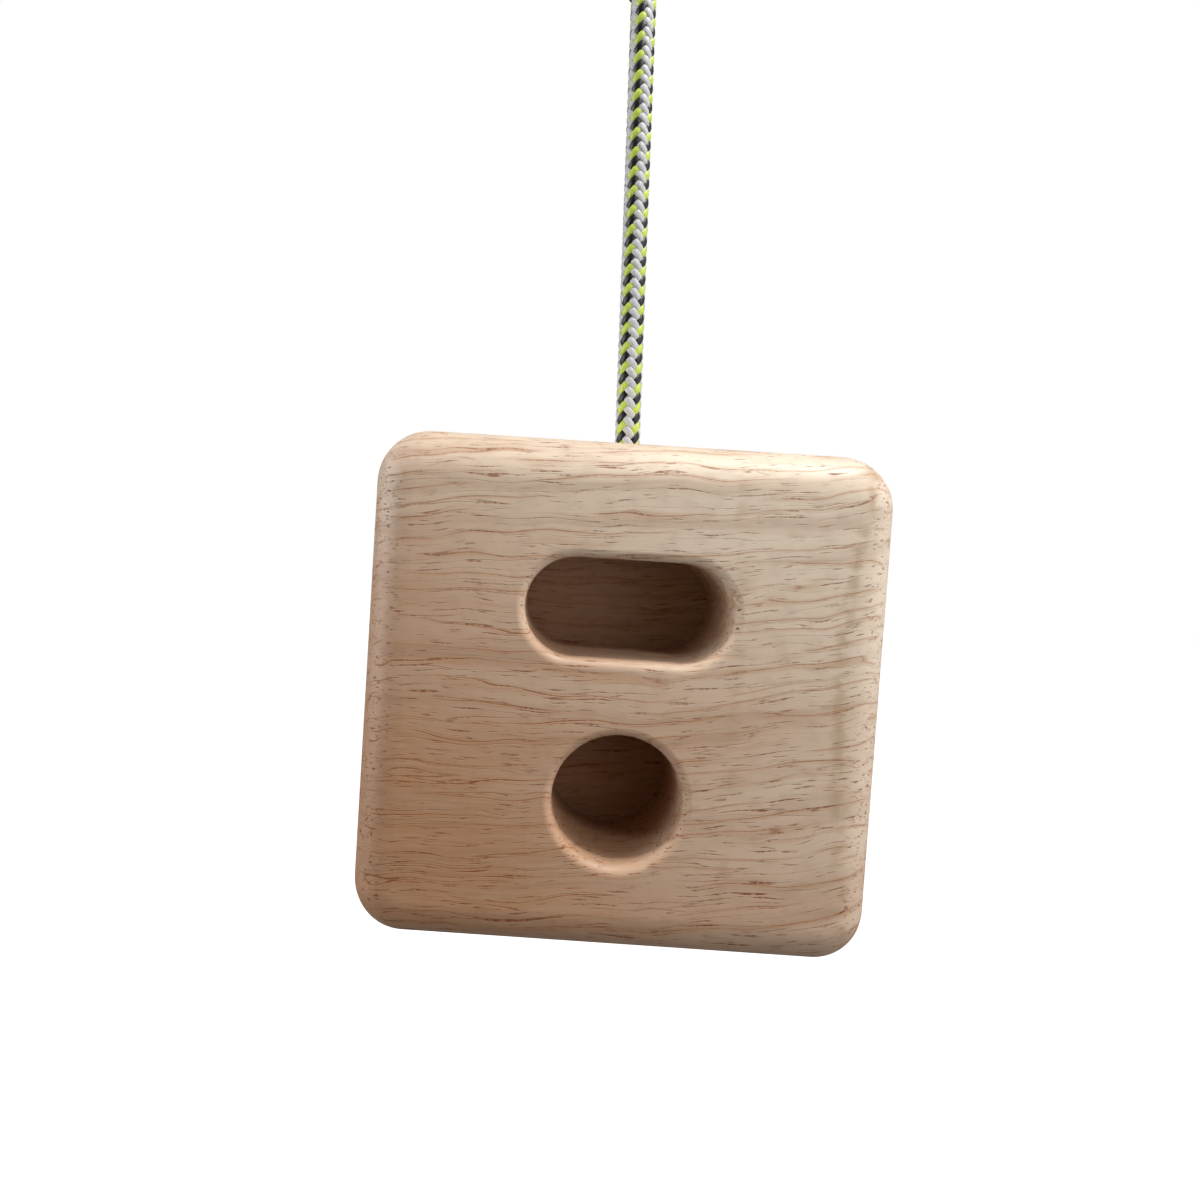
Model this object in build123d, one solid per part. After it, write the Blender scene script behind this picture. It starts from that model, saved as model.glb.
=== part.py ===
from build123d import *
import math
import os

# A wooden finger-training block that hangs from one braided cord. Millimetres, +Z up, -Y is the front.
# The origin is the point inside the hanging loop where the hanger bears, so the part lies below it.

# Wooden block
BLOCK_WIDTH = 101.0
BLOCK_HEIGHT = 99.0
BLOCK_THICKNESS = 58.0
CORNER_RADIUS = 10.5
EDGE_RADIUS = 8.8

# Finger pockets in the front face, placed from the middle of the block
POCKET_DEPTH = 25.0
RIM_RADIUS = 1.75
ROUND_POCKET_DIAMETER = 25.0
ROUND_POCKET_BELOW = 19.1
SLOT_WIDTH = 39.6
SLOT_HEIGHT = 19.2
SLOT_ABOVE = 17.1

# Cord channel, straight down behind the pockets, with a recess for the stopper knot
CORD_DIAMETER = 6.0
CHANNEL_CLEARANCE = 0.5
WALL_BEHIND_POCKETS = 2.0
MOUTH_RADIUS = 2.0
RECESS_DEPTH = 14.0
RECESS_RIM_RADIUS = 1.0

# Knots, as plain barrels
STOPPER_KNOT_DIAMETER = 18.0
STOPPER_KNOT_HEIGHT = 13.0
STOPPER_TAIL_LENGTH = 11.0
LOOP_KNOT_DIAMETER = 26.0
LOOP_KNOT_HEIGHT = 28.0
LOOP_TAIL_LENGTH = 22.0
KNOT_EDGE_RADIUS = 3.5

# Cord between the block and the loop knot, and the loop above it
STANDING_LENGTH = 130.0
HANGER_DIAMETER = 24.0
LOOP_DROP = 62.0

# Clearances between pieces that move on each other
JOINT_GAP = 0.3
KNOT_CLEARANCE = 2.0
CORD_SPACING = 0.6

cord_radius = CORD_DIAMETER / 2
channel_radius = cord_radius + CHANNEL_CLEARANCE
channel_depth = POCKET_DEPTH + WALL_BEHIND_POCKETS + channel_radius
recess_radius = STOPPER_KNOT_DIAMETER / 2 + KNOT_CLEARANCE

# Heights, from the hanger down
hanger_centre_z = -HANGER_DIAMETER / 2
loop_knot_top = hanger_centre_z - LOOP_DROP
loop_knot_bottom = loop_knot_top - LOOP_KNOT_HEIGHT
swing_pivot_z = loop_knot_bottom - JOINT_GAP - cord_radius
block_top = loop_knot_bottom - STANDING_LENGTH
block_centre_z = block_top - BLOCK_HEIGHT / 2
block_bottom = block_top - BLOCK_HEIGHT
recess_ceiling = block_bottom + RECESS_DEPTH
stopper_knot_top = recess_ceiling - JOINT_GAP
stopper_knot_bottom = stopper_knot_top - STOPPER_KNOT_HEIGHT
channel_cord_top = block_top - JOINT_GAP - cord_radius

# The channel is on the Z axis, so the front face lies its own depth in front of it
front_y = -channel_depth
back_y = front_y + BLOCK_THICKNESS


def upright(radius, bottom, top, x=0.0, y=0.0):
    """A round bar along Z between two heights."""
    bar = Cylinder(radius, top - bottom, align=(Align.CENTER, Align.CENTER, Align.MIN))
    return Pos(x, y, bottom) * bar


def barrel(diameter, bottom, top):
    """A knot's outer shape: an upright barrel with rounded ends, flat where the cords enter."""
    body = upright(diameter / 2, bottom, top)
    return fillet(body.edges().filter_by(GeomType.CIRCLE), KNOT_EDGE_RADIUS)


def pocket(outline, height):
    """A straight pocket of the given outline, sunk into the front face at a height."""
    face = Plane(origin=(0, front_y, height), x_dir=(1, 0, 0), z_dir=(0, -1, 0)) * outline
    return extrude(face, -POCKET_DEPTH)


def rim_edges(solid, y, size):
    """Edges in the plane y that are shorter in X than size: the rims of the pockets."""
    flat = solid.edges().filter_by(lambda e: e.bounding_box().size.Y < 0.01 and abs(e.center().Y - y) < 0.01)
    return flat.filter_by(lambda e: abs(e.center().X) < size and abs(e.center().Z - block_centre_z) < size)


def circles_at(solid, z, radius):
    """Circular edges of one radius in the plane z."""
    rings = solid.edges().filter_by(GeomType.CIRCLE)
    return rings.filter_by(lambda e: abs(e.radius - radius) < 0.01 and abs(e.center().Z - z) < 0.01)


def make_block():
    """The block, with rounded corners and edges, two pockets, the channel and the knot recess."""
    size = (BLOCK_WIDTH, BLOCK_THICKNESS, BLOCK_HEIGHT)
    blank = Pos(0, (front_y + back_y) / 2, block_centre_z) * Box(*size)
    blank = fillet(blank.edges().filter_by(Axis.Y), CORNER_RADIUS)
    outline = blank.edges().filter_by(lambda e: e.bounding_box().size.Y < 0.01)
    blank = fillet(outline, EDGE_RADIUS)
    blank -= pocket(Circle(ROUND_POCKET_DIAMETER / 2), block_centre_z - ROUND_POCKET_BELOW)
    blank -= pocket(SlotOverall(SLOT_WIDTH, SLOT_HEIGHT), block_centre_z + SLOT_ABOVE)
    inner = min(BLOCK_WIDTH, BLOCK_HEIGHT) / 2 - EDGE_RADIUS - 1.0
    blank = fillet(rim_edges(blank, front_y, inner), RIM_RADIUS)
    blank -= upright(channel_radius, recess_ceiling, block_top)
    blank -= upright(recess_radius, block_bottom, recess_ceiling)
    blank = fillet(circles_at(blank, block_top, channel_radius), MOUTH_RADIUS)
    return fillet(circles_at(blank, block_bottom, recess_radius), RECESS_RIM_RADIUS)


def make_standing_cord():
    """The taut cord between the loop knot and the block, with a round end at each pivot."""
    ends = Pos(0, 0, swing_pivot_z) * Sphere(cord_radius) + Pos(0, 0, block_top) * Sphere(cord_radius)
    return upright(cord_radius, block_top, swing_pivot_z) + ends


def corner_radii(points):
    """For each corner, 0.45 of the shorter run beside it, over the tangent of half the turn."""
    runs = [Vector(*b) - Vector(*a) for a, b in zip(points, points[1:])]
    pairs = zip(runs, runs[1:])
    return [0.45 * min(a.length, b.length) / math.tan(math.radians(a.get_angle(b) / 2)) for a, b in pairs]


def loop_points():
    """Corners of the loop's route, up one leg, over the hanger and down the other leg."""
    leg_x = cord_radius + CORD_SPACING / 2
    half = [
        (leg_x, loop_knot_top),
        (leg_x, loop_knot_top + 12.0),
        (leg_x + 4.8, hanger_centre_z - 32.0),
        (leg_x + 9.2, hanger_centre_z - 14.0),
        (leg_x + 12.8, hanger_centre_z + 4.1),
        (leg_x + 3.8, hanger_centre_z + 15.0),
    ]
    right = [(x, 0.0, z) for x, z in half]
    return right + [(-x, 0.0, z) for x, z in reversed(half)]


def make_loop():
    """The hanging loop, a tube of straight runs joined by tangent arcs."""
    points = loop_points()
    radii = corner_radii(points)
    path = FilletPolyline(*points, radius=radii)
    section = Plane(origin=path @ 0, z_dir=path % 0) * Circle(cord_radius)
    tube = sweep(section, path=path)
    print("loop radii", [round(r, 1) for r in radii])
    print("loop length", round(path.length, 1))
    print("loop volume over section times length", round(tube.volume / (section.area * path.length), 4))
    return tube


def make_parts():
    """Every node of the part, by name."""
    tail_y = CORD_DIAMETER + CORD_SPACING
    return {
        "wooden_block": make_block(),
        "hanging_loop": make_loop(),
        "loop_knot": barrel(LOOP_KNOT_DIAMETER, loop_knot_bottom, loop_knot_top),
        "loop_tail": upright(cord_radius, loop_knot_bottom - LOOP_TAIL_LENGTH, loop_knot_bottom, y=tail_y),
        "standing_cord": make_standing_cord(),
        "channel_cord": upright(cord_radius, stopper_knot_top, channel_cord_top),
        "stopper_knot": barrel(STOPPER_KNOT_DIAMETER, stopper_knot_bottom, stopper_knot_top),
        "stopper_tail": upright(cord_radius, stopper_knot_bottom - STOPPER_TAIL_LENGTH, stopper_knot_bottom),
    }


os.makedirs("parts", exist_ok=True)
for name, shape in make_parts().items():
    export_step(shape, f"parts/{name}.step")
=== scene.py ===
# %% [markdown]
# A finger-training block: a hand-sized piece of pale hardwood with two finger pockets, hung on one
# braided cord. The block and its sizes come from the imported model. What is made here is the look:
# the cord as real interlaced yarns, the knots, the wood, the light and the camera.

# %% Load the fixed frame
import bpy
import numpy as np
from mathutils import Matrix, Vector


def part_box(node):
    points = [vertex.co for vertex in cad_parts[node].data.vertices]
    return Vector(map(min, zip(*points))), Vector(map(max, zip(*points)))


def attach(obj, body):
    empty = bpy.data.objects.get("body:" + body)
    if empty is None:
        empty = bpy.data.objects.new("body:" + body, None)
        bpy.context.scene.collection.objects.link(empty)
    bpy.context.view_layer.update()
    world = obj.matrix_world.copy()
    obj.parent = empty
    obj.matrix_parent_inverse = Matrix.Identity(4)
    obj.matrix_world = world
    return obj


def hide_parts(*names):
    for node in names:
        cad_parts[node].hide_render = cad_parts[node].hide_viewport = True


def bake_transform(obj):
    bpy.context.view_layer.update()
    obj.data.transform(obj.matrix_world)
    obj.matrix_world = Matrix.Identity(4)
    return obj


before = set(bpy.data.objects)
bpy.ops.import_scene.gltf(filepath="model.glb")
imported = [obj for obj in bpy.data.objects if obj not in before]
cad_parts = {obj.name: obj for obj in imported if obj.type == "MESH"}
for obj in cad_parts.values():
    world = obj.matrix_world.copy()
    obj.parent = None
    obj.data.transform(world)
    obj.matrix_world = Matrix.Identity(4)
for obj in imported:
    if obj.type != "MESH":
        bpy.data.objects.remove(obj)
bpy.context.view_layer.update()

MM = 0.001
block_low, block_high = (np.array(corner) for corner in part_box("wooden_block"))
block_centre = (block_low + block_high) / 2
block_top, block_bottom, block_front = block_high[2], block_low[2], block_low[1]
print("block, mm:", np.round((block_high - block_low) / MM, 1))

# %% [markdown]
# The camera stands close to the block with a wide lens, so the floors of the pockets look smaller
# than their rims. It is turned a few degrees about its own axis, which is why the block looks
# tilted while its cord hangs almost upright. A small lens shift places the block in the picture.

# %% Camera
SENSOR = 36.0
FOCAL_LENGTH = 21.92
CAMERA_DISTANCE = 0.1364
CAMERA_ASIDE, CAMERA_ABOVE = -0.0166, 0.0280
YAW, PITCH, ROLL = -0.0067, 0.0272, -0.0642
SHIFT = (0.0505, -0.0274)

camera = bpy.data.objects.new("camera", bpy.data.cameras.new("camera"))
bpy.context.scene.collection.objects.link(camera)
camera.data.sensor_width = SENSOR
camera.data.lens = FOCAL_LENGTH
camera.data.shift_x, camera.data.shift_y = SHIFT
camera.data.clip_start = 0.01
turn = Matrix.Rotation(np.pi / 2, 4, "X") @ Matrix.Rotation(-YAW, 4, "Y")
turn = turn @ Matrix.Rotation(-PITCH, 4, "X") @ Matrix.Rotation(-ROLL, 4, "Z")
place = (CAMERA_ASIDE, block_front - CAMERA_DISTANCE, block_centre[2] + CAMERA_ABOVE)
camera.matrix_world = Matrix.Translation(place) @ turn
bpy.context.scene.camera = camera

# %% [markdown]
# A cord's centre line is a quadratic NURBS curve through a few control points, as the route of a
# real cord has no corners. Blender works the curve out, and its points are spread evenly by length,
# so that everything laid on the line keeps one scale.

# %% Lines and the frames that travel along them
CORD_DIAMETER = 6.0 * MM


def smooth_line(controls, step):
    """Points a step apart on the order 3 NURBS curve whose control points are given."""
    data = bpy.data.curves.new("line", "CURVE")
    data.dimensions = "3D"
    spline = data.splines.new("NURBS")
    spline.points.add(len(controls) - 1)
    spline.points.foreach_set("co", np.c_[controls, np.ones(len(controls))].ravel())
    spline.order_u = 3
    spline.use_endpoint_u = True
    spline.resolution_u = 32
    curve = bpy.data.objects.new("line", data)
    mesh = bpy.data.meshes.new_from_object(curve)
    points = np.empty(len(mesh.vertices) * 3)
    mesh.vertices.foreach_get("co", points)
    bpy.data.objects.remove(curve)
    return even_steps(points.reshape(-1, 3), step)


def even_steps(points, step):
    """The same line with its points the same distance apart, close to a step."""
    along = np.r_[0, np.linalg.norm(np.diff(points, axis=0), axis=1).cumsum()]
    count = max(int(round(along[-1] / step)), 2)
    wanted = np.linspace(0, along[-1], count + 1)
    return np.stack([np.interp(wanted, along, points[:, k]) for k in range(3)], axis=1)


def unit(vectors):
    """Vectors of length 1."""
    return vectors / np.linalg.norm(vectors, axis=-1, keepdims=True)


def travelling_frame(points, anchor, side):
    """Tangents and two square directions that follow the line, from one point of it outwards both
    ways, without spinning about it."""
    tangent = unit(np.gradient(points, axis=0))
    across = np.empty_like(points)
    across[anchor] = unit(np.array(side) - np.dot(side, tangent[anchor]) * tangent[anchor])
    for step, last in ((1, len(points)), (-1, -1)):
        for k in range(anchor + step, last, step):
            carried = across[k - step] - np.dot(across[k - step], tangent[k]) * tangent[k]
            across[k] = unit(carried)
    return tangent, across, np.cross(tangent, across)


# %% [markdown]
# The cord's cover is braided from sixteen flat yarns, eight winding each way, and every yarn passes
# over two others and then under two. Seen round the cord, that means the yarns of one way are on
# top in four stripes and those of the other way in the four stripes between. So a yarn's distance
# from the middle follows a cosine of four times its angle, squared off so that a yarn changes over
# quickly, and the two ways get opposite signs.

# %% The braid
YARNS_EACH_WAY = 8
STRIPES = YARNS_EACH_WAY // 2
STRIPE_SQUARENESS = 1.8
BRAID_LEAD = 17.9 * MM
YARN_WIDTH = 1.60 * MM
YARN_THICKNESS = 0.76 * MM
YARN_MIDDLE_RADIUS = 2.18 * MM
YARN_RISE = 0.32 * MM
CORE_RADIUS = 1.90 * MM
RING_STEP = 0.42 * MM
LENS_POINTS = 10
CORE_POINTS = 12
BEAD_RADIUS = 3.10 * MM
BEAD_HALF_LENGTH = 1.15 * MM
BEAD_RINGS, BEAD_POINTS = 18, 36
LAY_TIGHTENING = 0.41
STANDING_LENGTH = 0.130
YARN_SLOTS = np.r_[1 + np.arange(YARNS_EACH_WAY) % 2, np.zeros(YARNS_EACH_WAY, int)]
CORE_SLOT, MELTED_SLOT = 3, 4


def lens_section():
    """A flat yarn's outline: an ellipse with full shoulders, across and up, in units of its size."""
    angle = np.linspace(0, 2 * np.pi, LENS_POINTS, endpoint=False)
    across = np.sign(np.cos(angle)) * np.abs(np.cos(angle)) ** 0.75 / 2
    return across, np.sin(angle) / 2


def tube_faces(tubes, rings, around):
    """Quads between the rings of several tubes, and the polygons that close their ends."""
    first = np.arange(tubes)[:, None, None] * rings * around
    ring = np.arange(rings - 1)[None, :, None] * around
    here = np.arange(around)[None, None, :]
    after = (here + 1) % around
    low, high = first + ring, first + ring + around
    quads = np.stack([low + here, low + after, high + after, high + here], axis=-1).reshape(-1, 4)
    starts = first[:, 0] + here[0, :, ::-1]
    ends = first[:, 0] + (rings - 1) * around + here[0]
    return quads, np.concatenate([starts, ends])


def mesh_object(name, corners, quads, ends, uvs, quad_slots, end_slots):
    """A closed mesh from quads and end polygons, with a UV for each vertex and a slot for each face."""
    mesh = bpy.data.meshes.new(name)
    loops = np.concatenate([quads.ravel(), ends.ravel()])
    sizes = np.r_[np.full(len(quads), 4), np.full(len(ends), ends.shape[1])]
    mesh.vertices.add(len(corners))
    mesh.vertices.foreach_set("co", corners.ravel())
    mesh.loops.add(len(loops))
    mesh.loops.foreach_set("vertex_index", loops)
    mesh.polygons.add(len(sizes))
    mesh.polygons.foreach_set("loop_start", np.r_[0, sizes.cumsum()[:-1]])
    mesh.polygons.foreach_set("material_index", np.r_[quad_slots, end_slots])
    mesh.update(calc_edges=True)
    layer = mesh.uv_layers.new(name="yarn")
    layer.data.foreach_set("uv", uvs[loops].ravel())
    mesh.validate()
    mesh.shade_smooth()
    piece = bpy.data.objects.new(name, mesh)
    bpy.context.scene.collection.objects.link(piece)
    return piece


def braid(points, anchor, side, stripe_angle, stripe_turn):
    """Sixteen yarns and a core along a line, as rings of points. Distances along the cord are counted
    from the anchor point, where stripe_angle sets the stripes; stripe_turn turns them per metre."""
    tangent, across, up = travelling_frame(points, anchor, side)
    along = np.r_[0, np.linalg.norm(np.diff(points, axis=0), axis=1).cumsum()]
    along -= along[anchor]
    number = np.arange(2 * YARNS_EACH_WAY)[:, None]
    way = np.where(number < YARNS_EACH_WAY, 1.0, -1.0)
    reach = np.clip(along, 0.0, STANDING_LENGTH)
    stripes = stripe_angle + stripe_turn * reach
    lay = along / BRAID_LEAD * (1 + LAY_TIGHTENING * reach)
    half_cell = np.pi / (2 * YARNS_EACH_WAY)
    angle = 2 * np.pi * (number / YARNS_EACH_WAY + way * lay) + stripes + half_cell
    over_under = np.tanh(STRIPE_SQUARENESS * np.cos(STRIPES * (angle - stripes)))
    radius = YARN_MIDDLE_RADIUS + way * YARN_RISE * over_under
    outward = np.cos(angle)[..., None] * across + np.sin(angle)[..., None] * up
    middle = points + radius[..., None] * outward
    direction = unit(np.gradient(middle, axis=1))
    sideways = unit(np.cross(direction, outward))
    lift = np.cross(sideways, direction)
    lens_across, lens_up = lens_section()
    yarns = (
        middle[:, :, None]
        + YARN_WIDTH * lens_across[:, None] * sideways[:, :, None]
        + YARN_THICKNESS * lens_up[:, None] * lift[:, :, None]
    )
    round_angle = np.linspace(0, 2 * np.pi, CORE_POINTS, endpoint=False)[:, None]
    core = points[:, None] + CORE_RADIUS * (
        np.cos(round_angle) * across[:, None] + np.sin(round_angle) * up[:, None]
    )
    core_across = np.cos(round_angle[:, 0]) / 2
    return {
        "along": along,
        "tubes": ((yarns, lens_across, YARN_SLOTS), (core[None], core_across, np.array([CORE_SLOT]))),
    }


def joined(pieces):
    """Several mesh objects made one, under the first one's name."""
    with bpy.context.temp_override(
        active_object=pieces[0], object=pieces[0], selected_editable_objects=pieces
    ):
        bpy.ops.object.join()
    return pieces[0]


def cord_parts(name, made, spans):
    """Mesh objects of stretches of the braided cord, each from one ring number to another."""
    parts = []
    for first, last in spans:
        along = made["along"][None, first:last + 1, None] / MM
        for rings, sideways, slots in made["tubes"]:
            surface = rings[:, first:last + 1]
            tubes, count, around = surface.shape[:3]
            quads, ends = tube_faces(tubes, count, around)
            u = np.broadcast_to(along, (tubes, count, around))
            v = np.arange(tubes)[:, None, None] + sideways * np.ones((1, count, 1))
            uvs = np.stack([u, v], axis=-1).reshape(-1, 2)
            parts.append(mesh_object(
                f"{name}_{len(parts)}", surface.reshape(-1, 3), quads, ends, uvs,
                np.repeat(slots, (count - 1) * around), np.r_[slots, slots],
            ))
    return parts


def melted_bead(name, end, inner):
    """The bead on a free end: an ellipsoid filled out towards a short cylinder, with three and five
    shallow lobes round it."""
    round_angle = np.linspace(0, 2 * np.pi, BEAD_POINTS, endpoint=False)
    height_angle = np.linspace(-np.pi / 2, np.pi / 2, BEAD_RINGS + 2)[1:-1, None]
    lobes = 1 + 0.035 * np.sin(3 * round_angle + 1.0) + 0.02 * np.sin(5 * round_angle)
    radius = (BEAD_RADIUS * np.cos(height_angle) ** 0.6 * lobes)[..., None]
    way = unit(end - inner)
    frames = travelling_frame(np.stack([inner, end]), 0, (1, 0, 0))
    _, across, up = (direction[0] for direction in frames)
    surface = (
        end + radius * np.cos(round_angle)[:, None] * across + radius * np.sin(round_angle)[:, None] * up
        + (BEAD_HALF_LENGTH * np.sin(height_angle))[..., None] * way
    )
    quads, ends = tube_faces(1, BEAD_RINGS, BEAD_POINTS)
    slots = np.full(len(quads), MELTED_SLOT)
    return mesh_object(
        name, surface.reshape(-1, 3), quads, ends, np.zeros((surface.size // 3, 2)), slots, slots[:2]
    )


def finished_piece(name, parts):
    """One object from several parts, with the cord's finishes in their slots."""
    for part in parts:
        for finish in cord_finishes:
            part.data.materials.append(finish)
    piece = joined(parts)
    piece.name = name
    print(name, "triangles", sum(len(face.vertices) - 2 for face in piece.data.polygons))
    return piece


# %% [markdown]
# Every finish here is a small network of nodes over one Principled shader. These helpers keep the
# networks short to write: each makes one node, joins it up and gives back its result.

# %% Small helpers for materials
def new_material(name, roughness):
    """A material with its Principled shader and node tree ready."""
    material = bpy.data.materials.new(name)
    material.use_nodes = True
    tree = material.node_tree
    shader = tree.nodes["Principled BSDF"]
    shader.inputs["Roughness"].default_value = roughness
    return material, tree, shader


def feed(tree, socket, value):
    """A socket linked to another node's result, or set to a plain value."""
    if isinstance(value, bpy.types.NodeSocket):
        tree.links.new(value, socket)
    else:
        socket.default_value = value


def node(tree, kind, **values):
    """A new node with its properties or sockets set by name; i0, i1 and so on are socket numbers."""
    made = tree.nodes.new(kind)
    for key, value in values.items():
        if hasattr(made, key):
            setattr(made, key, value)
        else:
            by_number = key[0] == "i" and key[1:].isdigit()
            feed(tree, made.inputs[int(key[1:]) if by_number else key], value)
    return made


def maths(tree, operation, *values):
    """The result of one Math node on numbers or sockets."""
    made = tree.nodes.new("ShaderNodeMath")
    made.operation = operation
    for socket, value in zip(made.inputs, values):
        feed(tree, socket, value)
    return made.outputs[0]


def blend_colour(tree, factor, low, high):
    """A colour mixed from two colours or colour sockets."""
    made = tree.nodes.new("ShaderNodeMix")
    made.data_type = "RGBA"
    feed(tree, made.inputs[0], factor)
    for socket, colour in zip((made.inputs[6], made.inputs[7]), (low, high)):
        feed(tree, socket, colour if isinstance(colour, bpy.types.NodeSocket) else (*colour, 1.0))
    return made.outputs[2]


def stretch(tree, vector, scale, offset=(0.0, 0.0, 0.0)):
    """Coordinates scaled and moved by a Mapping node."""
    made = tree.nodes.new("ShaderNodeMapping")
    tree.links.new(vector, made.inputs["Vector"])
    made.inputs["Scale"].default_value = scale
    made.inputs["Location"].default_value = offset
    return made.outputs[0]


def noise(tree, vector, scale=1.0, detail=2.0, roughness=0.5):
    """A noise value from 0 to 1."""
    made = tree.nodes.new("ShaderNodeTexNoise")
    tree.links.new(vector, made.inputs["Vector"])
    made.inputs["Scale"].default_value = scale
    made.inputs["Detail"].default_value = detail
    made.inputs["Roughness"].default_value = roughness
    return made.outputs[0]


def ramp(tree, value, low, high, to_low=0.0, to_high=1.0):
    """A value moved smoothly from one range to another and held at its ends."""
    made = tree.nodes.new("ShaderNodeMapRange")
    made.interpolation_type = "SMOOTHSTEP"
    for socket, number in zip(made.inputs, (value, low, high, to_low, to_high)):
        feed(tree, socket, number)
    return made.outputs[0]


# %% [markdown]
# Such cords are braided on a machine from flat yarns of polyester, light grey, black and lime. A
# yarn is a bundle of fine parallel filaments, so its finish is noise drawn out along the yarn in
# the yarn's own UV coordinates, with a little relief, a soft gloss and some dirt. Both free ends of
# the cord are melted with a flame to stop fraying, and leave a hard dark bead.

# %% Yarn finishes
def yarn_finish(name, colour, dark, roughness):
    """A flat yarn of fine filaments: streaks and small ridges run along it."""
    material, tree, shader = new_material(name, roughness)
    uv = node(tree, "ShaderNodeUVMap", uv_map="yarn").outputs[0]
    filaments = noise(tree, stretch(tree, uv, (0.35, 14.0, 1.0)), 1.0, 3.0, 0.6)
    dirt = noise(tree, stretch(tree, uv, (0.12, 1.0, 1.0)), 1.0, 2.0)
    dirt_shade = ramp(tree, dirt, 0.35, 0.75, 0.0, -0.25)
    shade = maths(tree, "ADD", ramp(tree, filaments, 0.30, 0.62), dirt_shade)
    shade = maths(tree, "MAXIMUM", shade, 0.0)
    tree.links.new(blend_colour(tree, shade, dark, colour), shader.inputs["Base Color"])
    bump = node(tree, "ShaderNodeBump", Strength=0.35, Distance=0.00012, Height=filaments)
    tree.links.new(bump.outputs[0], shader.inputs["Normal"])
    shader.inputs["Sheen Weight"].default_value = 0.10
    shader.inputs["Sheen Roughness"].default_value = 0.4
    return material


LIGHT_GREY = yarn_finish("yarn_light_grey", (0.76, 0.77, 0.78), (0.52, 0.53, 0.54), 0.42)
BLACK = yarn_finish("yarn_black", (0.011, 0.014, 0.014), (0.004, 0.005, 0.005), 0.36)
LIME = yarn_finish("yarn_lime", (0.70, 0.88, 0.14), (0.50, 0.66, 0.06), 0.38)
# The core is real, but its dark colour is painted shade: it shows as the dark gaps between the yarns.
CORE_IN_PAINTED_SHADE = yarn_finish("cord_core_painted_shade", (0.10, 0.10, 0.09), (0.04, 0.04, 0.04), 0.8)


def melted_finish():
    """Yarns of three colours run together by heat: a dark gloss with paler and lime swirls."""
    material, tree, shader = new_material("melted_end", 0.22)
    place = node(tree, "ShaderNodeTexCoord").outputs["Object"]
    swirl = noise(tree, stretch(tree, place, (900.0, 900.0, 500.0)), 1.0, 3.0, 0.6)
    tint = noise(tree, stretch(tree, place, (620.0, 620.0, 620.0), (4.0, 2.0, 7.0)), 1.0, 2.0)
    colour = blend_colour(tree, ramp(tree, swirl, 0.40, 0.70), (0.030, 0.032, 0.026), (0.16, 0.16, 0.13))
    colour = blend_colour(tree, ramp(tree, tint, 0.52, 0.70, 0.0, 0.6), colour, (0.20, 0.26, 0.05))
    tree.links.new(colour, shader.inputs["Base Color"])
    bump = node(tree, "ShaderNodeBump", Strength=0.5, Distance=0.0002, Height=swirl)
    tree.links.new(bump.outputs[0], shader.inputs["Normal"])
    return material


MELTED = melted_finish()
cord_finishes = [LIGHT_GREY, BLACK, LIME, CORE_IN_PAINTED_SHADE, MELTED]
print("cord finishes:", [finish.name for finish in cord_finishes])

# %% [markdown]
# A knot's shape can't be guessed well, but it can be tied. A loose overhand knot is drawn with a
# known formula, and then pulled tight in small steps: every point moves towards the middle of its
# neighbours, as a rope under tension does, and points that come nearer than the width of the
# squeezed cord push each other apart. The stopper is a single overhand. The knot under the loop is an overhand
# tied in the doubled cord, so it starts as two lines side by side on a larger single knot.

# %% Tying knots
SQUEEZED = 5.2 * MM
TIGHTENING_STEP = 2.0 * MM
RESPACED_EVERY = 5
PUSHES_A_ROUND = 2
NEIGHBOURHOOD = 1.6 * SQUEEZED
SINGLE_STEP = 1.6 * MM
SINGLE_REACH = 28 * MM
SINGLE_ROUNDS, DOUBLED_ROUNDS = 260, 330
STRAIGHT_BIT = 6 * MM
INSIDE_MOUTH = 4.0 * MM
LEG_SPACING = 3.3 * MM


def loose_overhand():
    """An open overhand knot, as the polynomials t^3 - 3t, t^4 - 4t^2 and t^5 - 10t."""
    t = np.linspace(2.25, -2.25, 200)
    knot = np.stack([3.0 * (t**3 - 3 * t), 2.2 * (t**4 - 4 * t**2), 0.7 * (t**5 - 10 * t)], axis=1) * MM
    return knot - knot.mean(axis=0)


def tightened(lines, step, rounds, slack=0.4, most=0.6 * MM):
    """Lines with fixed ends, drawn tight: shortened a little and pushed apart, round after round."""
    for turn in range(rounds):
        if turn % RESPACED_EVERY == 0:
            lines = [even_steps(line, step) for line in lines]
            points = np.concatenate(lines)
            counts = [len(line) for line in lines]
            owner = np.repeat(np.arange(len(lines)), counts)
            order = np.concatenate([np.arange(count) for count in counts])
            from_end = np.concatenate([np.minimum(np.arange(n), np.arange(n)[::-1]) for n in counts])
            held = (from_end < 2)[:, None]
            apart = np.abs(order[:, None] - order) * step
            beside = (owner[:, None] == owner) & (apart < NEIGHBOURHOOD)
        midway = np.zeros_like(points)
        midway[1:-1] = (points[2:] + points[:-2]) / 2 - points[1:-1]
        points = points + np.where(held, 0.0, slack * midway)
        for _ in range(PUSHES_A_ROUND):
            between = points[:, None] - points
            distance = np.sqrt((between**2).sum(axis=2)) + 1e-9
            push = np.where(beside | (distance > SQUEEZED), 0.0, (SQUEEZED / distance - 1) / 2)
            shift = np.einsum("ij,ijk->ik", push, between) / np.sqrt((push > 0).sum(axis=1) + 1)[:, None]
            length = np.linalg.norm(shift, axis=1, keepdims=True) + 1e-12
            points = points + np.where(held, 0.0, shift * np.minimum(1.0, most / length))
        lines = np.split(points, np.cumsum(counts)[:-1])
    return lines


def rounded(line, step):
    """A tightened line made smooth, through the NURBS curve that has its points as controls."""
    return smooth_line(even_steps(line, step), RING_STEP)


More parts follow.
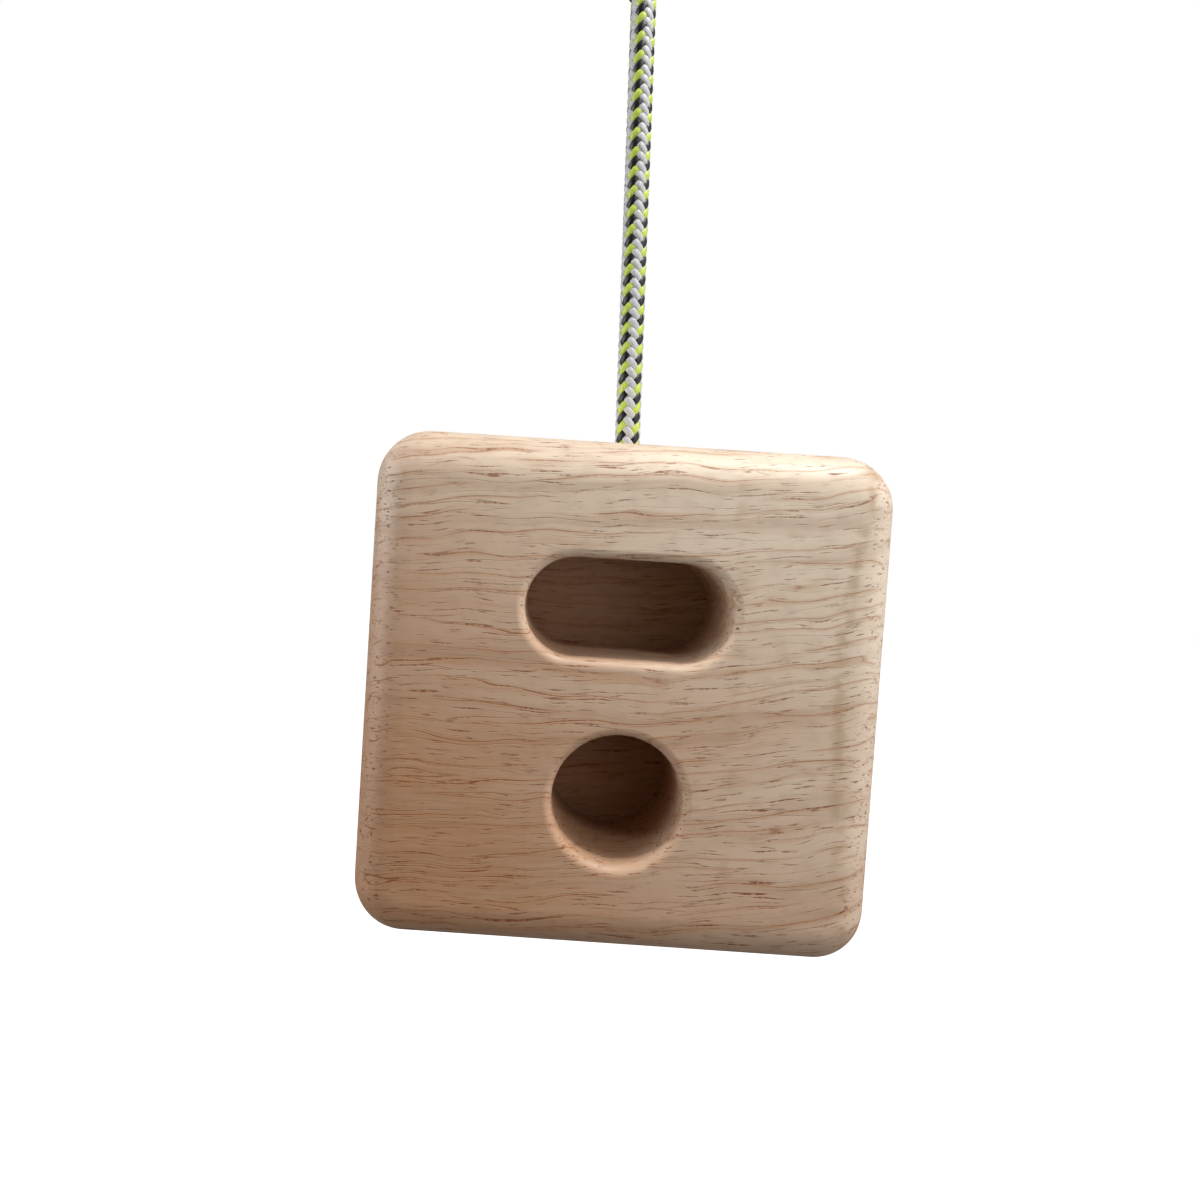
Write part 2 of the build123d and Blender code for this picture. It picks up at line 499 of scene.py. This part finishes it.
def straight_end(line, top, bottom, lead_in):
    """The line with a straight bit to a given place above and below."""
    up = np.array([0.0, 0.0, lead_in])
    return np.concatenate([[top, top - up], line, [bottom + up, bottom]])


block_mouth = block_top - INSIDE_MOUTH
stopper_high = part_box("stopper_knot")[1][2]
stopper_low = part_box("stopper_tail")[0][2]
stopper_middle = (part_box("stopper_knot")[0][2] + stopper_high) / 2
knot_low, knot_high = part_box("loop_knot")[0][2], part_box("loop_knot")[1][2]
knot_middle = (knot_low + knot_high) / 2
tail_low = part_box("loop_tail")[0][2]
tail_y = (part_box("loop_tail")[0][1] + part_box("loop_tail")[1][1]) / 2

single_top, single_bottom = np.array([0, 0, SINGLE_REACH]), np.array([0, 0, -SINGLE_REACH])
single = tightened(
    [straight_end(loose_overhand(), single_top, single_bottom, STRAIGHT_BIT)], SINGLE_STEP, SINGLE_ROUNDS
)[0]
print("single knot, mm:", np.round((single.max(axis=0) - single.min(axis=0)) / MM, 1))

# %% [markdown]
# The doubled knot starts from the single one that is already tight, made about twice as large, so
# its strands start apart and in the right order, and only have to be drawn closer. One of its lower
# ends becomes the standing cord, and the other the short tail that hangs beside it.

# %% The doubled knot
DOUBLED = 2.1
KNOT_REACH = 30.0 * MM
STRAND_OFFSET = 3.1 * MM
DOUBLED_LEAD_IN = 4 * MM
TAIL_ASIDE = -3.0 * MM
MOUTH_ASIDE = 0.5 * MM
LEAN = -0.0302


def on_lean(height):
    """A point of the leaning cord at a height."""
    return np.array([MOUTH_ASIDE + LEAN * (height - block_top), 0.0, height])


wide = even_steps(single * DOUBLED, 2 * TIGHTENING_STEP)
_, wide_side, _ = travelling_frame(wide, 0, (1.0, 0.0, 0.0))
inside = np.abs(wide[:, 2]) < KNOT_REACH
centre = np.array([0.0, 0.0, knot_middle])
top_right, top_left = (centre + (side * LEG_SPACING, 0, KNOT_REACH + STRAIGHT_BIT) for side in (1, -1))
low_end = centre[2] - KNOT_REACH - STRAIGHT_BIT
low_front, low_back = on_lean(low_end), np.array([TAIL_ASIDE, tail_y, low_end])
pair = [
    straight_end(centre + (wide + side * STRAND_OFFSET * wide_side)[inside], top, low, DOUBLED_LEAD_IN)
    for side, top, low in ((1, top_right, low_front), (-1, top_left, low_back))
]
front_strand, back_strand = tightened(pair, TIGHTENING_STEP, DOUBLED_ROUNDS)
for name, strand in (("front", front_strand), ("back", back_strand)):
    print(name, "strand of the loop knot, width in mm:", np.round(np.ptp(strand[:, 0]) / MM, 1))


def between_heights(line, high, low):
    """The stretch of a downward line between its first point under a height and its last above one."""
    keep = np.flatnonzero((line[:, 2] < high) & (line[:, 2] > low))
    return line[keep[0]:keep[-1] + 1]


def eased(line, begin=None, finish=None, reach=12 * MM):
    """The line with its ends led to given places, by a shift that fades out along the line."""
    along = np.r_[0, np.linalg.norm(np.diff(line, axis=0), axis=1).cumsum()]
    moved = line.copy()
    for target, end, distance in ((begin, line[0], along), (finish, line[-1], along[-1] - along)):
        if target is not None:
            fade = np.clip(1 - distance / reach, 0, 1)
            fade = fade**2 * (3 - 2 * fade)
            moved = moved + fade[:, None] * (np.array(target) - end)
    return moved


# %% [markdown]
# From the stopper to the loop's tail it is all one cord, so the braid is worked out once along one
# line, from the block upwards, round the loop and back down to the tail. The line is then cut into
# pieces at the knots, at the mouth of the block and where the cord bends as it swings. A knot's end
# leaves it beside its middle, so the stopper sits a little aside in its recess, and the last bit of
# its upper end is led to the middle of the channel, where it clears the wood all round.

# %% The whole line of the cord
INTO_KNOT = 4 * MM
STRAIGHT_RUN = 6 * CORD_DIAMETER
MOUTH_RUN = 20 * MM
STOPPER_ASIDE = (-0.6 * MM, -0.5 * MM)
STOPPER_DROP = 1.0 * MM
STOPPER_EASING = 9 * MM
STOPPER_TAIL = 11 * MM
PAST_CEILING = 2 * MM
LOOP_RINGS_PASSED, KNOT_RINGS_PASSED = 20, 100
loop_half = ((3.3, -74.0), (3.3, -62.0), (8.1, -44.0), (12.5, -26.0), (16.1, -7.9), (7.1, 3.0))
loop_route = [(x * MM, 0.0, z * MM) for x, z in loop_half]
loop_route += [(-x, y, z) for x, y, z in reversed(loop_route)]
loop_line = smooth_line(loop_route, RING_STEP)
taut_top = knot_low + INTO_KNOT
taut_route = [
    on_lean(block_mouth), on_lean(block_top + STRAIGHT_RUN),
    on_lean(knot_low - STRAIGHT_RUN), on_lean(taut_top),
]
taut_line = smooth_line(taut_route, RING_STEP)
stopper_place = np.array([*STOPPER_ASIDE, stopper_middle - STOPPER_DROP])
stopper = rounded(single, SINGLE_STEP)[::-1] + stopper_place
stopper = stopper[(stopper[:, 2] > stopper_low) & (stopper[:, 2] < stopper_high)]
stopper = eased(stopper, finish=(0.0, 0.0, stopper_high - RING_STEP), reach=STOPPER_EASING)
channel_route = [(0, 0, stopper_high), (0, 0, block_mouth - MOUTH_RUN), taut_line[0]]
channel = smooth_line(channel_route, RING_STEP)
front = between_heights(rounded(front_strand, TIGHTENING_STEP), knot_high, taut_top)[::-1]
front = eased(front, taut_line[-1], loop_line[0])
back = between_heights(rounded(back_strand, TIGHTENING_STEP), knot_high, tail_low)
back = eased(back, loop_line[-1])
print("gaps closed, mm:", np.round([front[0] - taut_line[-1], back[0] - loop_line[-1]], 4))
stretches = [stopper, channel, taut_line[1:], front[1:], loop_line, back[1:]]
whole = even_steps(np.concatenate(stretches), RING_STEP)


def nearest(point, first=0):
    """The number of the ring nearest to a point, from a given ring on."""
    return first + int(np.argmin(np.linalg.norm(whole[first:] - point, axis=1)))


mouth_ring = nearest(taut_line[0])
taut_end = nearest(taut_line[-1], mouth_ring)
loop_first = nearest(loop_line[0], taut_end)
loop_last = nearest(loop_line[-1], loop_first + LOOP_RINGS_PASSED)
tail_first = nearest((back[-1][0], tail_y, knot_low), loop_last + KNOT_RINGS_PASSED)
swing_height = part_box("standing_cord")[1][2] - CORD_DIAMETER / 2
swing_low = 2 * swing_height - taut_top
swing_begin = nearest(on_lean(swing_low), mouth_ring)
stopper_end = nearest((0, 0, stopper_high + PAST_CEILING))
stopper_tail_end = nearest(stopper[0] + (0, 0, STOPPER_TAIL))
print("whole cord, mm:", round(len(whole) * RING_STEP / MM), "rings:", [
    stopper_tail_end, stopper_end, mouth_ring, taut_end, loop_first, loop_last, tail_first, len(whole)])

# %% [markdown]
# One braid follows the whole line, anchored where the cord leaves the block, so no seam shows where
# one piece ends and the next begins. The cord bends at two places when the block swings, just above
# the block and just under the knot, so the taut stretch is two pieces.

# %% The braided pieces
cord = braid(whole, mouth_ring, (0.0, 1.0, 0.0), stripe_angle=-0.86, stripe_turn=5.4)
pieces = {
    "stopper_tail_braid": ("stopper", "stopper_tail", [(0, stopper_tail_end)]),
    "stopper_knot_braid": ("stopper", "stopper_knot", [(stopper_tail_end, stopper_end)]),
    "channel_cord_braid": ("stopper", "channel_cord", [(stopper_end, mouth_ring)]),
    "taut_cord": ("", "standing_cord", [(mouth_ring, swing_begin)]),
    "cord_under_knot": ("", "standing_cord", [(swing_begin, taut_end)]),
    "loop_knot_braid": ("loop", "loop_knot", [(taut_end, loop_first), (loop_last, tail_first)]),
    "hanging_loop_braid": ("loop", "hanging_loop", [(loop_first, loop_last)]),
    "loop_tail_braid": ("loop", "loop_tail", [(tail_first, len(whole) - 1)]),
}
beads = {
    "stopper_tail_braid": (whole[0], whole[1]),
    "loop_tail_braid": (whole[-1], whole[-2]),
}
braided = {}
for name, (body, stands_for, spans) in pieces.items():
    parts = cord_parts(name, cord, spans)
    if name in beads:
        parts.append(melted_bead(f"{name}_bead", *beads[name]))
    braided[name] = finished_piece(name, parts)
    if body:
        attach(braided[name], body)
    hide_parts(stands_for)
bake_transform(braided["taut_cord"])
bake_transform(braided["cord_under_knot"])

# %% [markdown]
# The block is one piece of pale, open-grained hardwood with its fibres running from side to side.
# A solid pattern is right for it, because the same pores then show as dashes on the front and as
# dots on the end grain. Noise drawn out along the fibres gives short dashes and specks. Thin sheets
# of pores, bent by more such noise and broken up, give the longer lines.

# %% Patterns in wood
COARSE_SHEETS = (0.0034, 140.0, 3.2, (14.0, 110.0, 170.0), (0.0, 0.0, 0.0))
CLOSE_SHEETS = (0.0021, 260.0, 3.5, (18.0, 160.0, 260.0), (4.0, 7.0, 1.0))
COARSE_REACH, CLOSE_REACH, PORE_SHADOW_REACH = 0.046, 0.052, 0.26


def about_zero(tree, value, height):
    """A noise value made to swing about zero by a height."""
    return maths(tree, "MULTIPLY", maths(tree, "SUBTRACT", value, 0.5), height)


def total(tree, first, *others):
    """The sum of several values."""
    for other in others:
        first = maths(tree, "ADD", first, other)
    return first


def near(tree, value, middle, reach):
    """1 where a value is at a middle, falling to 0 at a reach from it."""
    away = maths(tree, "ABSOLUTE", maths(tree, "SUBTRACT", value, middle))
    return ramp(tree, away, 0.0, reach, 1.0, 0.0)


def wood_places(tree):
    """Coordinates from the block's centre, and those that follow its swaying fibres."""
    place = node(tree, "ShaderNodeTexCoord").outputs["Object"]
    centred = node(
        tree, "ShaderNodeVectorMath", operation="SUBTRACT", i0=place, i1=tuple(block_centre)
    ).outputs[0]
    x, y, z = node(tree, "ShaderNodeSeparateXYZ", Vector=centred).outputs
    sway = noise(tree, stretch(tree, centred, (20.0, 15.0, 22.0)), 1.0, 1.0)
    ripple = noise(tree, stretch(tree, centred, (75.0, 40.0, 90.0), (3.0, 1.0, 2.0)), 1.0, 1.0)
    climb = maths(tree, "MULTIPLY", maths(tree, "POWER", maths(tree, "MAXIMUM", x, 0.0), 2.0), -2.3)
    level = total(
        tree, z, about_zero(tree, sway, 0.007), about_zero(tree, ripple, 0.0026), climb,
        maths(tree, "MULTIPLY", x, -0.05),
    )
    fibre = node(tree, "ShaderNodeCombineXYZ", X=x, Y=y, Z=level).outputs[0]
    return {"x": x, "y": y, "z": z, "centred": centred, "sway": sway, "level": level, "fibre": fibre}


def grain(tree, at, scale, shift, detail=1.0):
    """Noise drawn out along the fibres."""
    return noise(tree, stretch(tree, at["fibre"], scale, shift), 1.0, detail)


def pore_sheets(tree, at, spacing, slant, wander, scale, shift, reach):
    """Thin sheets of pores a spacing apart, bent by drawn-out noise."""
    phase = total(
        tree, maths(tree, "MULTIPLY", at["level"], 1 / spacing), maths(tree, "MULTIPLY", at["y"], slant),
        maths(tree, "MULTIPLY", grain(tree, at, scale, shift, 2.0), wander),
    )
    return near(tree, maths(tree, "FRACT", phase), 0.5, reach)


def pores(tree, at):
    """How dark the pores are at each place, and the wider painted shadow about the coarse ones."""
    rightward = ramp(tree, at["x"], -0.030, 0.030)
    downward = ramp(tree, at["z"], -0.040, 0.030, 1.0, 0.0)
    broken = ramp(tree, grain(tree, at, (46.0, 300.0, 520.0), (1.0, 5.0, 2.0), 2.0), 0.38, 0.54)
    depth = ramp(tree, grain(tree, at, (1100.0, 900.0, 900.0), (2.0, 2.0, 2.0)), 0.35, 0.60, 0.45, 1.0)
    coarse = pore_sheets(tree, at, *COARSE_SHEETS, COARSE_REACH)
    close = maths(tree, "MULTIPLY", pore_sheets(tree, at, *CLOSE_SHEETS, CLOSE_REACH), 0.7)
    lines = maths(tree, "MULTIPLY", maths(tree, "MAXIMUM", coarse, close), broken)
    lines = maths(tree, "MULTIPLY", lines, ramp(tree, rightward, 0.2, 1.0, 1.0, 0.6))
    dashes = ramp(tree, grain(tree, at, (90.0, 1100.0, 1750.0), (3.0, 1.0, 6.0)), 0.640, 0.71)
    specks = ramp(tree, grain(tree, at, (230.0, 1700.0, 2100.0), (8.0, 3.0, 5.0)), 0.64, 0.72, 0.0, 0.7)
    dark = maths(tree, "MAXIMUM", lines, maths(tree, "MAXIMUM", dashes, specks))
    dark = maths(tree, "MULTIPLY", dark, depth)
    dark = maths(tree, "MULTIPLY", dark, ramp(tree, downward, 0.0, 1.0, 0.8, 1.0))
    # Painted shadow: a wider brown band about the coarse pores.
    pore_shadow = maths(tree, "MULTIPLY", pore_sheets(tree, at, *COARSE_SHEETS, PORE_SHADOW_REACH), broken)
    return dark, pore_shadow


# %% [markdown]
# The colour starts from the wood's own tan, with painted shade to the lower left and a painted sheen,
# lighter and whiter, to the upper right. Streaks, fine fibres and two bent growth lines go over it,
# then a painted shadow about the coarse pores, the pores, and last painted shade inside the pockets.

# %% Wood
# The two ends of the painted light on the wood: painted shade to the lower left, a painted sheen to the upper
# right.
WOOD_IN_PAINTED_SHADE = (0.560, 0.290, 0.148)
WOOD_IN_PAINTED_SHEEN = (0.97, 0.805, 0.625)
STREAK_BROWN = (0.46, 0.25, 0.14)
FIBRE_CREAM = (0.80, 0.63, 0.47)
MOTTLE_BROWN = (0.36, 0.20, 0.12)
GROWTH_BROWN = (0.50, 0.33, 0.14)
PORE_SHADOW_BROWN = (0.60, 0.290, 0.125)
PORE_BROWN = (0.29, 0.080, 0.022)
POCKET_SHADE_BROWN = (0.30, 0.130, 0.042)
GROWTH_LINES = ((0.0405, 2.2, 0.42), (0.0215, -1.6, 0.22))
GROWTH_LINE_REACH = 0.0022
POCKETS_HALF_WIDTH, POCKETS_HALF_HEIGHT, POCKETS_FADE = 0.024, 0.034, 0.003


def wood_with_painted_light(tree, at, fine):
    """The wood's colour before its pores, with painted shade to the lower left and a painted sheen to the
    upper right. A growth line has a place, a bow and a strength.
    """
    streak = grain(tree, at, (12.0, 60.0, 230.0), (0.0, 9.0, 0.0), 3.0)
    band = grain(tree, at, (9.0, 20.0, 48.0), (4.0, 1.0, 7.0), 2.0)
    mottle = noise(tree, stretch(tree, at["centred"], (260.0, 200.0, 420.0)), 1.0, 2.0)
    # Painted light: this value runs from the painted shade at the lower left to the painted sheen at the upper
    # right.
    towards_painted_sheen = total(
        tree, maths(tree, "MULTIPLY", at["x"], 0.6), maths(tree, "MULTIPLY", at["z"], 0.8),
        about_zero(tree, band, 0.05),
    )
    colour = blend_colour(tree, ramp(tree, towards_painted_sheen, -0.050, 0.050), WOOD_IN_PAINTED_SHADE, WOOD_IN_PAINTED_SHEEN)
    colour = blend_colour(tree, ramp(tree, streak, 0.45, 0.75, 0.0, 0.45), colour, STREAK_BROWN)
    colour = blend_colour(tree, ramp(tree, fine, 0.35, 0.70, 0.0, 0.15), colour, FIBRE_CREAM)
    colour = blend_colour(tree, ramp(tree, mottle, 0.45, 0.70, 0.0, 0.12), colour, MOTTLE_BROWN)
    for aside, bow, strength in GROWTH_LINES:
        bend = maths(tree, "MULTIPLY", maths(tree, "MULTIPLY", at["z"], at["z"]), bow)
        bent = total(tree, maths(tree, "SUBTRACT", at["x"], bend), about_zero(tree, at["sway"], 0.006))
        patchy = ramp(tree, mottle, 0.35, 0.65, 0.0, strength)
        edge = maths(tree, "MULTIPLY", near(tree, bent, aside, GROWTH_LINE_REACH), patchy)
        colour = blend_colour(tree, edge, colour, GROWTH_BROWN)
    return colour


def inside_pockets(tree, at):
    """Where painted shade darkens the pockets: 1 well inside them, falling to 0 at the front face, behind them
    and beside them.
    """
    deep = ramp(tree, at["y"], -0.0285, -0.016)
    before_back = ramp(tree, at["y"], -0.0030, -0.0015, 1.0, 0.0)
    pocket_shade = maths(tree, "MULTIPLY", deep, before_back)
    for value, reach in ((at["x"], POCKETS_HALF_WIDTH), (at["z"], POCKETS_HALF_HEIGHT)):
        away = maths(tree, "ABSOLUTE", value)
        pocket_shade = maths(tree, "MULTIPLY", pocket_shade, ramp(tree, away, reach, reach + POCKETS_FADE, 1.0, 0.0))
    return pocket_shade


def wood():
    """Oiled hardwood, a solid pattern in the block's Object coordinates."""
    material, tree, shader = new_material("oiled_hardwood", 0.46)
    at = wood_places(tree)
    dark, pore_shadow = pores(tree, at)
    fine = grain(tree, at, (90.0, 1500.0, 2600.0), (0.0, 0.0, 9.0), 2.0)
    colour = wood_with_painted_light(tree, at, fine)
    # The painted shadow about the coarse pores goes over the wood.
    colour = blend_colour(tree, maths(tree, "MULTIPLY", pore_shadow, 0.40), colour, PORE_SHADOW_BROWN)
    colour = blend_colour(tree, maths(tree, "MULTIPLY", dark, 0.95), colour, PORE_BROWN)
    # Painted shade: the wood is darkened inside the pockets, where little light reaches.
    pocket_shade = maths(tree, "MULTIPLY", inside_pockets(tree, at), 0.55)
    colour = blend_colour(tree, pocket_shade, colour, POCKET_SHADE_BROWN)
    tree.links.new(colour, shader.inputs["Base Color"])
    relief = maths(tree, "ADD", maths(tree, "MULTIPLY", dark, -1.0), maths(tree, "MULTIPLY", fine, 0.15))
    bump = node(tree, "ShaderNodeBump", Strength=0.6, Distance=0.00012, Height=relief)
    tree.links.new(bump.outputs[0], shader.inputs["Normal"])
    tree.links.new(ramp(tree, dark, 0.0, 1.0, 0.46, 0.85), shader.inputs["Roughness"])
    shader.inputs["Specular IOR Level"].default_value = 0.5
    shader.inputs["Sheen Weight"].default_value = 0.10
    shader.inputs["Sheen Roughness"].default_value = 0.5
    return material


def dress(name, finish):
    """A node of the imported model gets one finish."""
    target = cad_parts[name]
    target.data.materials.clear()
    target.data.materials.append(finish)


dress("wooden_block", wood())
print("block finish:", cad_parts["wooden_block"].data.materials[0].name)

# %% [markdown]
# A plain pale floor lies well below the block. It glows a little, so it stays as light as the wall
# behind it, and it sends no light of its own back onto the wood.

# %% Floor
FLOOR_DROP = 0.45
FLOOR_HALF_WIDTH = 6.0
floor_z = block_bottom - FLOOR_DROP
floor_turn = ((-1, -1), (1, -1), (1, 1), (-1, 1))
corners = [(x * FLOOR_HALF_WIDTH, y * FLOOR_HALF_WIDTH, floor_z) for x, y in floor_turn]
floor_mesh = bpy.data.meshes.new("floor")
floor_mesh.from_pydata(corners, [], [(0, 1, 2, 3)])
floor = bpy.data.objects.new("floor", floor_mesh)
bpy.context.scene.collection.objects.link(floor)
pale, _, pale_shader = new_material("pale_floor", 0.9)
pale_shader.inputs["Base Color"].default_value = (0.9, 0.9, 0.89, 1.0)
pale_shader.inputs["Emission Color"].default_value = (1.0, 1.0, 1.0, 1.0)
pale_shader.inputs["Emission Strength"].default_value = 0.80
floor.data.materials.append(pale)
floor.visible_diffuse = False
floor.visible_glossy = False

# %% [markdown]
# The wood is lit as on a bright day indoors: a small strong light from above gives the bright
# lower rims of the pockets, and two wide soft boxes at the sides shape the rounded edges. The
# room in front stays dim, which keeps the pockets dark inside, and a weak fill light above the
# camera brightens the cord and the top of the block.

# %% Light
KEY_DIRECTION = (0.36, -0.20, 0.93)
KEY_DISTANCE = 1.1
KEY_SIZE, KEY_POWER = 0.10, 7.7
KEY_COLOUR = (1.0, 0.98, 0.96)
FILL_DIRECTION = (0.12, -0.25, 0.28)
FILL_DISTANCE = 0.39
FILL_SIZE, FILL_POWER = 0.06, 0.25
RIGHT_BOX_WAY, LEFT_BOX_WAY = (0.85, -0.53, 0.05), (-0.985, -0.11, 0.13)
RIGHT_BOX_EDGE, RIGHT_BOX_STRENGTH = 0.49, 1.04
LEFT_BOX_EDGE, LEFT_BOX_STRENGTH = 0.85, 4.2


def area_light(name, direction, distance, size, power, colour=(1.0, 1.0, 1.0)):
    """A square soft light that shines at the block from a direction."""
    data = bpy.data.lights.new(name, "AREA")
    data.size = size
    data.energy = power
    data.color = colour
    lamp = bpy.data.objects.new(name, data)
    bpy.context.scene.collection.objects.link(lamp)
    way = Vector(direction).normalized()
    lamp.matrix_world = Matrix.Translation(Vector(block_centre) + way * distance) @ (
        way.to_track_quat("Z", "Y").to_matrix().to_4x4()
    )
    lamp.visible_camera = False
    return lamp


area_light("key", KEY_DIRECTION, KEY_DISTANCE, KEY_SIZE, KEY_POWER, KEY_COLOUR)
area_light("fill", FILL_DIRECTION, FILL_DISTANCE, FILL_SIZE, FILL_POWER)

world = bpy.data.worlds.new("studio")
bpy.context.scene.world = world
world.use_nodes = True
sky = world.node_tree
backdrop = sky.nodes["Background"]
direction = node(sky, "ShaderNodeTexCoord").outputs["Generated"]
_, away, aloft = node(sky, "ShaderNodeSeparateXYZ", Vector=direction).outputs


def towards(way):
    """How closely a direction of the sky agrees with a given one, from -1 to 1."""
    length = float(np.linalg.norm(way))
    aim = [v / length for v in way]
    made = node(sky, "ShaderNodeVectorMath", operation="DOT_PRODUCT", i0=direction, i1=aim)
    return made.outputs["Value"]


right_box = ramp(sky, towards(RIGHT_BOX_WAY), RIGHT_BOX_EDGE, 1.0, 0.0, RIGHT_BOX_STRENGTH)
left_box = ramp(sky, towards(LEFT_BOX_WAY), LEFT_BOX_EDGE, 1.0, 0.0, LEFT_BOX_STRENGTH)
boxes_ahead = ramp(sky, away, -1.05, -0.76, 0.02, 1.0)
boxes = maths(sky, "MULTIPLY", maths(sky, "ADD", right_box, left_box), boxes_ahead)
room_ahead = ramp(sky, away, -0.85, -0.40, 0.03, 0.22)
room = maths(sky, "MULTIPLY", room_ahead, ramp(sky, aloft, -0.80, 0.10, 0.4, 1.0))
glow = maths(sky, "ADD", boxes, room)
seen = node(sky, "ShaderNodeLightPath").outputs["Is Camera Ray"]
strength = maths(sky, "ADD", maths(sky, "MULTIPLY", glow, maths(sky, "SUBTRACT", 1.0, seen)), seen)
sky.links.new(strength, backdrop.inputs["Strength"])
backdrop.inputs["Color"].default_value = (1.0, 1.0, 1.0, 1.0)
bpy.context.scene.view_settings.view_transform = "Standard"
print("lamps:", [lamp.name for lamp in bpy.data.lights])
